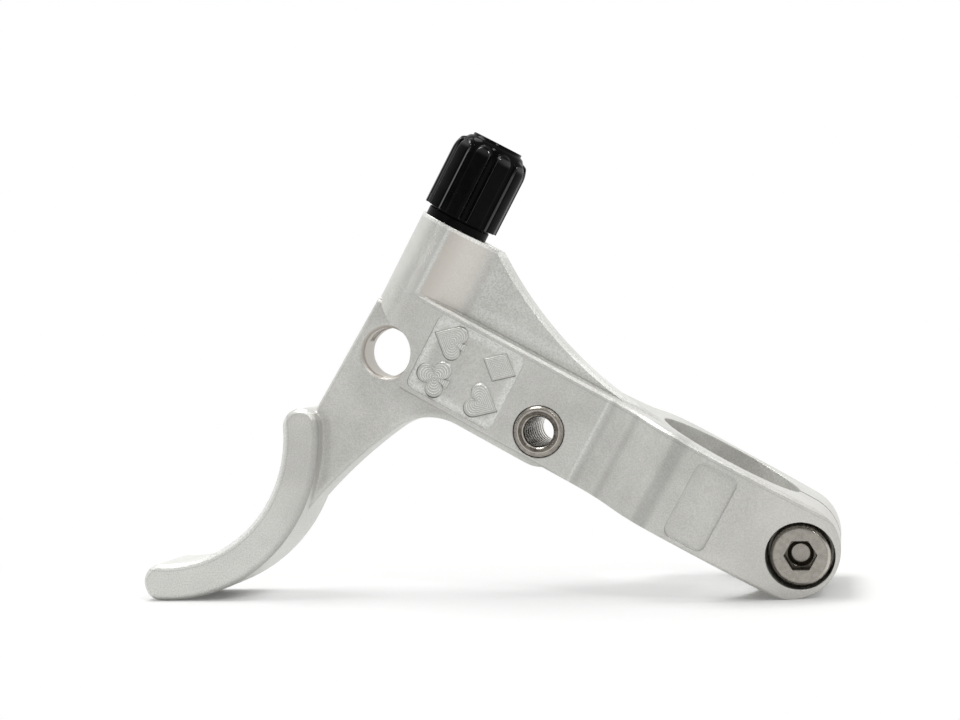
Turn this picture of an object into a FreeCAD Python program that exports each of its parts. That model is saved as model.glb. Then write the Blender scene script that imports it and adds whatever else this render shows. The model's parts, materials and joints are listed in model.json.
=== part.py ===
import FreeCAD, Part
import math
import os
import Sketcher

# Flat-bar bicycle brake lever for two fingers, machined from aluminium.
# Working frame of the pieces: the origin is the lever's pivot, on the cable's mid-plane.
# X runs along the perch from the pivot to the bar clamp, Z runs up along the cable and the bar,
# and Y runs along the pivot, away from the front face.
# At the end every piece is turned together, so that the lever stands on its hook and clamp end.

# Sizes in millimetres and degrees

SIZES = {
    # Perch
    "boss_radius": 5.3,
    "boss_top": 20.1,
    "cable_offset": 25.8,
    "plate_low": 4.3,
    "plate_high": 9.3,
    "plate_left": 21.9,
    "plate_corner": 1.4,
    "plate_edge": 0.4,
    "web_thickness": 4.2,
    "web_corner": 17.7,
    "web_radius": 60.0,
    "web_edge": 0.5,
    "boss_fillet": 6.0,
    "heel_height": 5.9,
    "heel_inset": 2.7,
    "jog_start": 8.0,
    "jog_end": 20.0,
    "panel_right": 6.4,
    "panel_left": 20.7,
    "panel_low": 3.45,
    "panel_high": 8.4,
    "label_left": 22.3,
    "label_right": 28.4,
    "label_low": 3.6,
    "label_high": 7.9,
    "pocket_corner": 1.2,
    "pocket_depth": 0.35,
    # Bar clamp
    "bore_diameter": 22.2,
    "bore_offset": 25.4,
    "clamp_wall": 3.4,
    "clamp_end_drop": 4.4,
    "end_set_back": 1.5,
    "split_gap": 0.5,
    "strap_thickness": 4.2,
    "strap_left": 6.5,
    "strap_jog_start": 5.2,
    "strap_jog_end": 19.5,
    "bolt_offset": 40.4,
    "bolt_diameter": 5.0,
    "bolt_length": 16.0,
    "head_diameter": 8.5,
    "head_height": 5.0,
    "head_chamfer": 0.5,
    "hex_width": 4.0,
    "hex_depth": 2.6,
    "hex_turn": 30.0,
    "hex_land": 0.15,
    "hex_floor": 2.5,
    "hex_drill": 0.6,
    "washer_diameter": 9.2,
    "washer_thickness": 1.0,
    "seat_depth": 0.2,
    "head_clearance": 0.3,
    "bolt_clearance": 0.03,
    # Lever blade
    "blade_thickness": 6.0,
    "blade_top": 5.6,
    "blade_left": 30.8,
    "blade_edge": 0.4,
    "blade_side_gap": 0.15,
    "blade_roof_gap": 0.35,
    "eye_radius": 5.3,
    "nipple_drop": 0.8,
    "nipple_diameter": 7.3,
    "nipple_chamfer": 0.5,
    "notch_radius": 4.2,
    "cable_slit": 2.2,
    "arm_radius": 75.0,
    "knee_radius": 8.9,
    "flat_left": 11.6,
    "hook_radius": 19.5,
    "hook_thickness": 5.5,
    "hook_width": 11.4,
    "hook_left": 50.8,
    "hook_low": 28.4,
    "hook_top_angle": 32.0,
    "hook_tip_angle": 62.5,
    "arm_top_angle": 31.5,
    "arm_root_angle": 2.0,
    "hook_edge": 0.6,
    # Pivot
    "sleeve_diameter": 6.0,
    "sleeve_bore": 4.3,
    "sleeve_head": 7.5,
    "sleeve_head_height": 1.2,
    "sleeve_proud": 0.3,
    "sleeve_chamfer": 0.4,
    "running_fit": 0.03,
    "bush_diameter": 8.0,
    "bush_length": 2.7,
    "bush_proud": 0.1,
    "press_gap": 0.02,
    "ring_diameter": 9.0,
    "ring_thickness": 0.8,
    "ring_opening": 2.4,
    "groove_diameter": 5.2,
    "sleeve_tail": 0.7,
    # Cable adjuster
    "screw_diameter": 7.0,
    "screw_foot": 10.6,
    "socket_diameter": 5.2,
    "socket_depth": 8.0,
    "cable_hole": 2.6,
    "boss_bore_floor": 9.6,
    "detent_diameter": 9.7,
    "detent_thickness": 1.2,
    "cap_diameter": 11.7,
    "cap_length": 12.5,
    "cap_taper": 0.6,
    "cap_shoulder": 3.0,
    "bevel_low": 28.0,
    "bevel_high": 54.0,
    "rim_diameter": 7.8,
    "rim_height": 0.6,
    "rib_gap": 1.3,
    "rib_depth": 0.75,
    "rib_foot": 0.4,
    "collar_depth": 1.1,
    "seat_gap": 0.05,
}
RIB_COUNT = 10


class Dim:
    """A size with its value and the expression that gives it."""

    def __init__(self, text, value):
        self.text = text
        self.value = value

    def join(self, sign, other, value):
        return Dim("(%s %s %s)" % (self.text, sign, other.text), value)

    def __add__(self, other):
        other = dim(other)
        return self.join("+", other, self.value + other.value)

    def __sub__(self, other):
        other = dim(other)
        return self.join("-", other, self.value - other.value)

    def __mul__(self, other):
        other = dim(other)
        return self.join("*", other, self.value * other.value)

    def __truediv__(self, other):
        other = dim(other)
        return self.join("/", other, self.value / other.value)

    def __neg__(self):
        return Dim("(-1 * %s)" % self.text, -self.value)

    def root(self):
        return Dim("sqrt(%s)" % self.text, math.sqrt(self.value))

    def sine(self):
        return Dim("sin(%s)" % self.text, math.sin(math.radians(self.value)))

    def cosine(self):
        return Dim("cos(%s)" % self.text, math.cos(math.radians(self.value)))


def dim(value):
    return value if isinstance(value, Dim) else Dim(repr(float(value)), float(value))


class Names:
    """The sheet's sizes by name."""


doc = FreeCAD.newDocument("BrakeLever")
sheet = doc.addObject("Spreadsheet::Sheet", "Size")
size = Names()
for row, (alias, number) in enumerate(SIZES.items(), start=1):
    sheet.set("A%d" % row, alias)
    sheet.set("B%d" % row, str(number))
    sheet.setAlias("B%d" % row, alias)
    setattr(size, alias, Dim("Size." + alias, number))
doc.recompute()


def derive(alias, value):
    """Keeps a worked-out size in the sheet under its own name."""
    row = len(SIZES) + len(derived) + 1
    sheet.set("A%d" % row, alias)
    sheet.set("B%d" % row, "=" + value.text.replace("Size.", ""))
    sheet.setAlias("B%d" % row, alias)
    derived.append(alias)
    doc.recompute()
    return Dim("Size." + alias, value.value)


derived = []
ZERO = dim(0)
TOUCH = 1e-6
ACROSS = FreeCAD.Rotation(FreeCAD.Vector(1, 0, 0), -90)
FACING = FreeCAD.Rotation(FreeCAD.Vector(1, 0, 0), 90)
UPRIGHT = FreeCAD.Rotation()


# Building blocks

def bind(item, **sizes):
    for name, value in sizes.items():
        item.setExpression(name, dim(value).text)


def place(item, at, rotation):
    item.Placement = FreeCAD.Placement(FreeCAD.Vector(*[dim(a).value for a in at]), rotation)
    for axis, value in zip("xyz", at):
        item.setExpression("Placement.Base." + axis, dim(value).text)


def cylinder(name, at, radius, length, rotation=UPRIGHT):
    item = doc.addObject("Part::Cylinder", name)
    bind(item, Radius=radius, Height=length)
    place(item, at, rotation)
    return item


def cone(name, at, start, end, length, rotation=UPRIGHT):
    item = doc.addObject("Part::Cone", name)
    bind(item, Radius1=start, Radius2=end, Height=length)
    place(item, at, rotation)
    return item


def box(name, low, high):
    item = doc.addObject("Part::Box", name)
    spans = [dim(b) - dim(a) for a, b in zip(low, high)]
    bind(item, Length=spans[0], Width=spans[1], Height=spans[2])
    place(item, low, UPRIGHT)
    return item


def fuse(name, *items):
    result = doc.addObject("Part::MultiFuse", name)
    result.Shapes = list(items)
    result.Refine = True
    return result


def cut(name, base, *tools):
    result = doc.addObject("Part::Cut", name)
    result.Base = base
    result.Tool = tools[0] if len(tools) == 1 else fuse(name + "_tools", *tools)
    result.Refine = True
    return result


def common(name, *items):
    result = doc.addObject("Part::MultiCommon", name)
    result.Shapes = list(items)
    return result


def arc_centre(start, end, radius, side):
    half = (end - start) * 0.5
    height = math.sqrt(max(radius ** 2 - half.Length ** 2, 0.0))
    across = FreeCAD.Vector(-half.y, half.x, 0).normalize()
    return start + half + across * (height * side)


def outline(name, points, rotation=UPRIGHT):
    """A closed sketch. A point is (x, y) before a straight edge, or (x, y, radius, turn) before an arc
    that turns left (turn 1) or right (turn -1) on its way to the next point."""
    sketch = doc.addObject("Sketcher::SketchObject", name)
    sketch.Placement = FreeCAD.Placement(FreeCAD.Vector(), rotation)
    ends = []
    for here, after in zip(points, points[1:] + points[:1]):
        start = FreeCAD.Vector(dim(here[0]).value, dim(here[1]).value, 0)
        end = FreeCAD.Vector(dim(after[0]).value, dim(after[1]).value, 0)
        if len(here) == 2:
            edge = sketch.addGeometry(Part.LineSegment(start, end))
            ends.append((edge, 1, 2))
            continue
        radius, turn = dim(here[2]), here[3]
        centre = arc_centre(start, end, radius.value, turn)
        first, last = (start, end) if turn > 0 else (end, start)
        angles = [math.atan2(p.y - centre.y, p.x - centre.x) for p in (first, last)]
        circle = Part.Circle(centre, FreeCAD.Vector(0, 0, 1), radius.value)
        edge = sketch.addGeometry(Part.ArcOfCircle(circle, angles[0], angles[1]))
        ends.append((edge, 1, 2) if turn > 0 else (edge, 2, 1))
    for (edge, _, leave), (following, enter, _) in zip(ends, ends[1:] + ends[:1]):
        sketch.addConstraint(Sketcher.Constraint("Coincident", edge, leave, following, enter))
    for point, (edge, enter, _) in zip(points, ends):
        for kind, value in zip(("DistanceX", "DistanceY"), point):
            value = dim(value)
            number = sketch.addConstraint(Sketcher.Constraint(kind, -1, 1, edge, enter, value.value))
            sketch.setExpression("Constraints[%d]" % number, value.text)
        if len(point) > 2:
            radius = dim(point[2])
            number = sketch.addConstraint(Sketcher.Constraint("Radius", edge, radius.value))
            sketch.setExpression("Constraints[%d]" % number, radius.text)
    return sketch


def extrude(name, sketch, direction, ahead, behind=ZERO):
    item = doc.addObject("Part::Extrusion", name)
    item.Base = sketch
    item.DirMode = "Custom"
    item.Dir = direction
    item.Solid = True
    bind(item, LengthFwd=ahead, LengthRev=behind)
    return item


def slab(name, points, front, back):
    """A side outline in X and Z, from the depth -front to +back."""
    along = FreeCAD.Vector(0, 1, 0)
    return extrude(name, outline(name + "_outline", points, FACING), along, back, front)


def prism(name, points, low, high):
    """A plan outline in X and Y, from the height -low to +high."""
    return extrude(name, outline(name + "_outline", points), FreeCAD.Vector(0, 0, 1), high, low)


def revolve(name, points, at):
    """A solid of revolution about Z from a profile of radius and height."""
    sketch = outline(name + "_profile", points, FACING)
    turned = doc.addObject("Part::Revolution", name)
    turned.Source = sketch
    turned.Axis = FreeCAD.Vector(0, 0, 1)
    turned.Base = FreeCAD.Vector(0, 0, 0)
    turned.Angle = 360
    turned.Solid = True
    place(turned, at, UPRIGHT)
    return turned


def soften(kind, name, base, amount, chosen):
    """Rounds (Part::Fillet) or bevels (Part::Chamfer) those edges of a solid that chosen accepts."""
    doc.recompute()
    item = doc.addObject(kind, name)
    item.Base = base
    numbers = [n for n, edge in enumerate(base.Shape.Edges, start=1) if chosen(edge)]
    item.Edges = [(n, amount.value, amount.value) for n in numbers]
    return item


def spans(edge):
    """How far an edge's ends lie apart along X, Y and Z, and its first end."""
    first, last = edge.Vertexes[0].Point, edge.Vertexes[-1].Point
    return abs(last.x - first.x), abs(last.y - first.y), abs(last.z - first.z), first


def on_side(edge):
    """An edge of a slab's front or back outline."""
    return spans(edge)[1] < TOUCH


def panel(left, right, low, high, corner):
    """The points of a rectangle with round corners, in X and Z."""
    return [
        (left + corner, low),
        (right - corner, low, corner, 1),
        (right, low + corner),
        (right, high - corner, corner, 1),
        (right - corner, high),
        (left + corner, high, corner, 1),
        (left, high - corner),
        (left, low + corner, corner, 1),
    ]


parts = {}


def keep(name, item):
    item.Label = name
    parts[name] = item


# Shared places and sizes

reach = size.hook_left + size.hook_radius
split = size.boss_radius
bore_radius = size.bore_diameter / 2
clamp_front = bore_radius + size.clamp_wall - split
clamp_back = bore_radius + size.clamp_wall + split
strap_back = split + size.strap_thickness
end_radius = (size.plate_low + size.plate_high) / 2
end_middle = (size.plate_high - size.plate_low) / 2
end_centre = size.bolt_offset - size.end_set_back
end_tip = end_centre + end_radius
slot_half = size.blade_thickness / 2 + size.blade_side_gap
eye_room = size.eye_radius + size.blade_roof_gap
slot_roof = size.blade_top + size.blade_roof_gap
nipple_radius = size.nipple_diameter / 2
seat = size.seat_depth
washer_top = size.washer_thickness - seat
head_top = washer_top + size.head_height
counterbore = (size.washer_diameter + size.head_clearance) / 2
sleeve_radius = size.sleeve_diameter / 2
ring_front = strap_back + size.seat_gap
ring_back = ring_front + size.ring_thickness
sleeve_back = ring_back + size.seat_gap + size.sleeve_tail
sleeve_front = split + size.sleeve_proud
screw_radius = size.screw_diameter / 2
hook_outer = size.hook_radius + size.hook_thickness


def jog_radius(run, rise):
    return (run * run + rise * rise) / (rise * 4)


def crown_radius(run, drop):
    return (run * run + drop * drop) / (drop * 2)


def clamp_end(name):
    """The perch seen from the front: a bar with a round clamp end and a rounded lower left corner."""
    low, high = -size.plate_low, size.plate_high
    inner = -size.plate_left
    return slab(name, [
        (inner + size.plate_corner, low),
        (end_centre, low, end_radius, 1),
        (end_tip, end_middle, end_radius, 1),
        (end_centre, high),
        (-size.cable_offset, high),
        (-size.cable_offset, -size.nipple_drop),
        (inner, -size.nipple_drop),
        (inner, low + size.plate_corner, size.plate_corner, 1),
    ], reach, reach)


# Perch: one machined piece with the cable boss, web, two walls about the blade and the front clamp half

jog_run = (size.jog_end - size.jog_start) / 2
jog_rise = (clamp_front - size.boss_radius) / 2
jog_turn = jog_radius(size.jog_end - size.jog_start, clamp_front - size.boss_radius)
crown_run = end_tip - size.jog_end


def perch_plan(name, inset):
    """The perch seen from above, with its front face set back by inset."""
    front = -size.boss_radius + inset
    crown = -clamp_front + inset
    return prism(name, [
        (-size.cable_offset, front),
        (size.jog_start, front, jog_turn, -1),
        (size.jog_start + jog_run, front - jog_rise, jog_turn, 1),
        (size.jog_end, crown, crown_radius(crown_run, size.clamp_end_drop), 1),
        (end_tip, crown + size.clamp_end_drop),
        (end_tip, split),
        (-size.cable_offset, split),
    ], size.plate_low, size.plate_high)


def front_rim(edge):
    along, _, up, first = spans(edge)
    return along > TOUCH and up < TOUCH and first.y < 0


perch_solid = perch_plan("perch_solid", ZERO)
perch_block = soften("Part::Chamfer", "perch_block", perch_solid, size.plate_edge, front_rim)
perch_bar = common("perch_bar", perch_block, clamp_end("perch_side"))
boss = cylinder("boss", (-size.cable_offset, 0, -size.nipple_drop), size.boss_radius,
                size.boss_top + size.nipple_drop)
web_rise = size.boss_top - size.plate_high
web_foot = (size.web_radius * web_rise * 2 - web_rise * web_rise).root() - size.web_corner
web_half = size.web_thickness / 2
web_slab = slab("web_slab", [
    (-size.cable_offset, slot_roof),
    (web_foot, slot_roof),
    (web_foot, size.plate_high, size.web_radius, -1),
    (-size.web_corner, size.boss_top),
    (-size.cable_offset, size.boss_top),
], web_half, web_half)


def web_rim(edge):
    return on_side(edge) and isinstance(edge.Curve, Part.Circle)


web = soften("Part::Chamfer", "web", web_slab, size.web_edge, web_rim)
blend_reach = size.boss_radius + size.boss_fillet
blend_out = web_half + size.boss_fillet
blend_run = (blend_reach * blend_reach - blend_out * blend_out).root()
blend_share = size.boss_radius / blend_reach
blend_boss = -size.cable_offset + blend_run * blend_share
blend_side = blend_out * blend_share
blend_web = -size.cable_offset + blend_run
boss_blend = extrude("boss_blend", outline("boss_blend_outline", [
    (blend_boss, -blend_side, size.boss_fillet, -1),
    (blend_web, -web_half),
    (blend_web, web_half, size.boss_fillet, -1),
    (blend_boss, blend_side),
]), FreeCAD.Vector(0, 0, 1), size.boss_top)
slot = fuse(
    "slot",
    box("slot_reach", (-reach, -slot_half, -reach), (0, slot_half, slot_roof)),
    box("slot_mouth", (0, -slot_half, -reach), (eye_room, slot_half, 0)),
    cylinder("slot_end", (0, -slot_half, 0), eye_room, slot_half * 2, ACROSS),
)
notch = cylinder("notch", (-size.cable_offset, -reach, -size.nipple_drop), size.notch_radius,
                 reach * 2, ACROSS)
heel = slab("heel", [
    (-reach, -reach),
    (-size.cable_offset, -reach),
    (-size.cable_offset, size.heel_inset),
    (-size.cable_offset - size.boss_radius, size.heel_height),
    (-reach, size.heel_height),
], reach, reach)
bar_bore = cylinder("bar_bore", (size.bore_offset, split, -reach), bore_radius, reach * 2)
bolt_way = cylinder("bolt_way", (size.bolt_offset, -reach, end_middle),
                    size.bolt_diameter / 2 + size.head_clearance, reach * 2, ACROSS)
bolt_seat = cylinder("bolt_seat", (size.bolt_offset, -reach, end_middle), counterbore, seat + reach, ACROSS)
pivot_way = cylinder("pivot_way", (0, -reach, 0), sleeve_radius + size.running_fit, reach * 2, ACROSS)
pivot_seat = cylinder("pivot_seat", (0, -reach, 0), size.sleeve_head / 2 + size.running_fit,
                      size.sleeve_head_height - size.sleeve_proud - split + reach, ACROSS)
boss_bore = cylinder("boss_bore", (-size.cable_offset, 0, size.boss_bore_floor),
                     screw_radius + size.running_fit, reach)
boss_cable = cylinder("boss_cable", (-size.cable_offset, 0, 0), size.cable_hole / 2, reach)
suit_points = panel(-size.panel_left, -size.panel_right, -size.panel_low, size.panel_high,
                    size.pocket_corner)
suit_panel = slab("suit_panel", suit_points, size.boss_radius, -size.boss_radius + size.pocket_depth)
label_points = panel(size.label_left, size.label_right, -size.label_low, size.label_high,
                     size.pocket_corner)
label_slab = slab("label_slab", label_points, clamp_front, ZERO)
label_panel = cut("label_panel", label_slab, perch_plan("label_floor", size.pocket_depth))
keep("main_body", cut(
    "main_body", fuse("perch_blank", perch_bar, boss, web, boss_blend),
    slot, notch, heel, bar_bore, bolt_way, bolt_seat, pivot_way, pivot_seat, boss_bore, boss_cable,
    suit_panel, label_panel))

# Clamp cap: the rear half of the bar clamp, a strap held by the pivot at one end and the bolt at the other

strap_rise = clamp_back - strap_back
strap_run = size.strap_jog_end - size.strap_jog_start
strap_turn = jog_radius(strap_run, strap_rise)
cap_plan_solid = prism("cap_plan_solid", [
    (-size.strap_left, split),
    (end_tip, split),
    (end_tip, clamp_back - size.clamp_end_drop, crown_radius(end_tip - size.strap_jog_end,
                                                              size.clamp_end_drop), 1),
    (size.strap_jog_end, clamp_back, strap_turn, 1),
    (size.strap_jog_start + strap_run / 2, strap_back + strap_rise / 2, strap_turn, -1),
    (size.strap_jog_start, strap_back),
    (-size.strap_left, strap_back),
], size.plate_low, size.plate_high)


def rear_rim(edge):
    along, _, up, first = spans(edge)
    return along > TOUCH and up < TOUCH and first.y > split.value + TOUCH


cap_plan = soften("Part::Chamfer", "cap_plan", cap_plan_solid, size.plate_edge, rear_rim)
strap_end = slab("strap_end", [
    (-size.strap_left + size.plate_corner, -size.plate_low),
    (end_centre, -size.plate_low, end_radius, 1),
    (end_tip, end_middle, end_radius, 1),
    (end_centre, size.plate_high),
    (-size.strap_left + size.plate_corner, size.plate_high, size.plate_corner, 1),
    (-size.strap_left, size.plate_high - size.plate_corner),
    (-size.strap_left, -size.plate_low + size.plate_corner, size.plate_corner, 1),
], reach, reach)
split_slit = box("split_slit", (size.bore_offset, 0, -reach), (reach, split + size.split_gap, reach))
cap_thread = cylinder("cap_thread", (size.bolt_offset, 0, end_middle),
                      size.bolt_diameter / 2 + size.bolt_clearance, reach, ACROSS)
cap_bore = cylinder("cap_bore", (size.bore_offset, split, -reach), bore_radius, reach * 2)
cap_pivot = cylinder("cap_pivot", (0, 0, 0), sleeve_radius + size.running_fit, reach, ACROSS)
keep("clamp_cap", cut("clamp_cap", common("cap_blank", cap_plan, strap_end),
                      split_slit, cap_thread, cap_bore, cap_pivot))

# Lever blade: one machined piece, a flat arm with the pivot eye and a broad curved finger hook

arm_left = -size.blade_left
hook_x, hook_z = -size.hook_left, -size.hook_low


def on_hook(radius, angle):
    """A point of the hook, at an angle above the level through its centre."""
    return (hook_x + radius * angle.cosine(), hook_z + radius * angle.sine())


def past_hook(angle, way):
    """The far point of the hook's round end, past an angle in the turning sense way (1 or -1)."""
    x, z = on_hook(hook_mean, angle)
    return (x - hook_half * angle.sine() * way, z + hook_half * angle.cosine() * way)


hook_half = size.hook_thickness / 2
hook_mean = size.hook_radius + hook_half
hook_top = size.hook_top_angle
hook_tip = -size.hook_tip_angle
root_x, root_z = on_hook(hook_outer, size.arm_root_angle)
knee_x, knee_z = -size.flat_left, -size.eye_radius - size.knee_radius
arm_run = derive("arm_run", knee_x - root_x)
arm_rise = derive("arm_rise", knee_z - root_z)
arm_square = derive("arm_square", arm_run * arm_run + arm_rise * arm_rise)
arm_inner = derive("arm_inner", size.arm_radius - size.knee_radius)
arm_far = size.arm_radius * size.arm_radius
arm_share = derive("arm_share", (arm_far - arm_inner * arm_inner + arm_square) / (arm_square * 2))
arm_lean = derive("arm_lean", (arm_far / arm_square - arm_share * arm_share).root())
bend_x = derive("bend_x", root_x + arm_share * arm_run + arm_lean * arm_rise)
bend_z = derive("bend_z", root_z + arm_share * arm_rise - arm_lean * arm_run)
knee_share = size.knee_radius / arm_inner
arm_slab = slab("arm_slab", [
    (arm_left, size.blade_top),
    on_hook(hook_mean, size.arm_top_angle),
    on_hook(hook_mean, size.arm_root_angle),
    (root_x, root_z, size.arm_radius, -1),
    (knee_x + (knee_x - bend_x) * knee_share, knee_z + (knee_z - bend_z) * knee_share,
     size.knee_radius, -1),
    (-size.flat_left, -size.eye_radius),
    (ZERO, -size.eye_radius, size.eye_radius, 1),
    (size.eye_radius, ZERO, size.eye_radius, 1),
    (ZERO, size.eye_radius),
    (-size.eye_radius, size.blade_top),
], size.blade_thickness / 2, size.blade_thickness / 2)


def arm_rim(edge):
    """An edge of the arm's outline, apart from those sunk in the hook."""
    ends = [(v.Point.x - hook_x.value, v.Point.z - hook_z.value) for v in edge.Vertexes]
    return on_side(edge) and max(math.hypot(*end) for end in ends) > hook_outer.value + TOUCH


arm = soften("Part::Chamfer", "arm", arm_slab, size.blade_edge, arm_rim)
hook_slab = slab("hook_slab", [
    on_hook(size.hook_radius, hook_tip) + (hook_half, 1),
    past_hook(hook_tip, -1) + (hook_half, 1),
    on_hook(hook_outer, hook_tip) + (hook_outer, 1),
    on_hook(hook_outer, hook_top) + (hook_half, 1),
    past_hook(hook_top, 1) + (hook_half, 1),
    on_hook(size.hook_radius, hook_top) + (size.hook_radius, -1),
], size.hook_width / 2, size.hook_width / 2)
hook_band = soften("Part::Chamfer", "hook_band", hook_slab, size.hook_edge, on_side)
eye_bore = cylinder("eye_bore", (0, -reach, 0), size.bush_diameter / 2 + size.press_gap, reach * 2, ACROSS)
nipple_at = (-size.cable_offset, -size.blade_thickness / 2, -size.nipple_drop)
nipple_hole = cylinder("nipple_hole", nipple_at, nipple_radius, size.blade_thickness, ACROSS)
nipple_front = cone("nipple_front", nipple_at, nipple_radius + size.nipple_chamfer, nipple_radius,
                    size.nipple_chamfer, ACROSS)
nipple_rear_at = (-size.cable_offset, size.blade_thickness / 2 - size.nipple_chamfer, -size.nipple_drop)
nipple_rear = cone("nipple_rear", nipple_rear_at, nipple_radius, nipple_radius + size.nipple_chamfer,
                   size.nipple_chamfer, ACROSS)
cable_way = box("cable_way", (-reach, -size.cable_slit / 2, -size.nipple_drop),
                (-size.cable_offset + size.cable_slit / 2, size.cable_slit / 2, reach))
keep("lever_blade", cut("lever_blade", fuse("blade_blank", arm, hook_band),
                        eye_bore, nipple_hole, nipple_front, nipple_rear, cable_way))

# Pivot: a hollow threaded sleeve through both walls, two plain bushes in the eye and a retaining ring


def bush(name, start):
    """A plain bush from the depth start, just proud of the blade, so that it alone rubs on the walls."""
    return cut(
        name,
        cylinder(name + "_barrel", (0, start, 0), size.bush_diameter / 2, size.bush_length, ACROSS),
        cylinder(name + "_bore", (0, -reach, 0), sleeve_radius + size.running_fit, reach * 2, ACROSS))


bush_face = size.blade_thickness / 2 + size.bush_proud
keep("pivot_bush_front", bush("pivot_bush_front", -bush_face))
keep("pivot_bush_rear", bush("pivot_bush_rear", bush_face - size.bush_length))
sleeve_edge = size.sleeve_head / 2
sleeve_blank = fuse(
    "sleeve_blank",
    cone("sleeve_rim", (0, -sleeve_front, 0), sleeve_edge - size.sleeve_chamfer, sleeve_edge,
         size.sleeve_chamfer, ACROSS),
    cylinder("sleeve_head_disc", (0, -sleeve_front + size.sleeve_chamfer, 0), sleeve_edge,
             size.sleeve_head_height - size.sleeve_chamfer, ACROSS),
    cylinder("sleeve_tube", (0, -sleeve_front, 0), sleeve_radius, sleeve_front + sleeve_back, ACROSS))
groove_width = size.ring_thickness + size.seat_gap
sleeve_groove = cut(
    "sleeve_groove",
    cylinder("groove_outer", (0, ring_front, 0), reach, groove_width, ACROSS),
    cylinder("groove_inner", (0, ring_front, 0), size.groove_diameter / 2, groove_width, ACROSS))
sleeve_bore = cylinder("sleeve_bore", (0, -reach, 0), size.sleeve_bore / 2, reach * 2, ACROSS)
sleeve_mouth = cone("sleeve_mouth", (0, -sleeve_front, 0), size.sleeve_bore / 2 + size.sleeve_chamfer,
                    size.sleeve_bore / 2, size.sleeve_chamfer, ACROSS)
keep("pivot_sleeve", cut("pivot_sleeve", sleeve_blank, sleeve_groove, sleeve_bore, sleeve_mouth))
ring_hole = cylinder("ring_hole", (0, 0, 0), size.groove_diameter / 2 + size.press_gap, reach, ACROSS)
ring_gap = box("ring_gap", (-size.ring_opening / 2, 0, -reach), (size.ring_opening / 2, reach, 0))
ring_disc = cylinder("ring_disc", (0, ring_front, 0), size.ring_diameter / 2, size.ring_thickness, ACROSS)
keep("pivot_ring", cut("pivot_ring", ring_disc, ring_hole, ring_gap))

# Clamp bolt: socket head cap screw with a plain washer in the counterbore

keep("clamp_washer", cut(
    "clamp_washer",
    cylinder("washer_disc", (size.bolt_offset, -washer_top, end_middle), size.washer_diameter / 2,
             size.washer_thickness, ACROSS),
    cylinder("washer_hole", (size.bolt_offset, -reach, end_middle),
             size.bolt_diameter / 2 + size.bolt_clearance, reach * 2, ACROSS)))
head_edge = size.head_diameter / 2
bolt_rim = cone("bolt_rim", (size.bolt_offset, -head_top, end_middle), head_edge - size.head_chamfer,
                head_edge, size.head_chamfer, ACROSS)
bolt_head = cylinder("bolt_head", (size.bolt_offset, -head_top + size.head_chamfer, end_middle), head_edge,
                     size.head_height - size.head_chamfer, ACROSS)
bolt_shank = cylinder("bolt_shank", (size.bolt_offset, -washer_top, end_middle), size.bolt_diameter / 2,
                      size.bolt_length, ACROSS)
hex_socket = doc.addObject("Part::Prism", "hex_socket")
hex_socket.Polygon = 6
bind(hex_socket, Circumradius=size.hex_width / dim(3).root(), Height=size.hex_depth)
hex_turn = FreeCAD.Rotation(FreeCAD.Vector(0, 1, 0), size.hex_turn.value)
place(hex_socket, (size.bolt_offset, -head_top, end_middle), hex_turn * ACROSS)
hex_point = cone("hex_point", (size.bolt_offset, -head_top + size.hex_depth, end_middle),
                 size.hex_width / 2 - size.hex_land, size.hex_floor / 2, size.hex_drill, ACROSS)
bolt_blank = fuse("bolt_blank", bolt_rim, bolt_head, bolt_shank)
keep("clamp_bolt", cut("clamp_bolt", bolt_blank, hex_socket, hex_point))

# Cable adjuster: a hollow screw with a ribbed grip, and a detent ring under the grip

detent_low = size.boss_top + size.seat_gap
cap_low = detent_low + size.detent_thickness + size.seat_gap
cap_high = cap_low + size.cap_length
cable_line = (-size.cable_offset, 0, 0)
cap_edge = size.cap_diameter / 2
cap_top = cap_edge - size.cap_taper / 4
rim_radius = size.rim_diameter / 2
shoulder_radius = crown_radius(size.cap_shoulder - size.rim_height, cap_top - rim_radius)


def on_shoulder(angle):
    """A point of the grip's shoulder, turned in bevels along a round, at an angle of that round."""
    inset = shoulder_radius - shoulder_radius * angle.cosine()
    return (cap_top - inset, cap_high - size.cap_shoulder + shoulder_radius * angle.sine())


keep("adjuster_detent", cut(
    "adjuster_detent",
    cylinder("detent_disc", (-size.cable_offset, 0, detent_low), size.detent_diameter / 2,
             size.detent_thickness),
    cylinder("detent_hole", cable_line, screw_radius + size.running_fit, reach)))
keep("adjuster_screw", cut(
    "adjuster_screw",
    cylinder("screw_rod", (-size.cable_offset, 0, size.screw_foot), screw_radius,
             cap_high - size.screw_foot),
    cylinder("screw_way", cable_line, size.cable_hole / 2, reach),
    cylinder("screw_socket", (-size.cable_offset, 0, cap_high - size.socket_depth),
             size.socket_diameter / 2, reach)))
cap_blank = revolve("grip_blank", [
    (ZERO, cap_low),
    (cap_edge - size.collar_depth, cap_low),
    (cap_edge - size.collar_depth, cap_low + size.rib_foot),
    (cap_edge - size.cap_taper / 2, cap_low + size.rib_foot),
    (cap_edge, cap_low + size.cap_shoulder),
    on_shoulder(ZERO),
    on_shoulder(size.bevel_low),
    on_shoulder(size.bevel_high),
    (rim_radius, cap_high - size.rim_height),
    (rim_radius, cap_high),
    (ZERO, cap_high),
], cable_line)
groove_floor = cap_edge - size.rib_depth
groove_half = size.rib_gap / 2
rib_grooves = []
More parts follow.
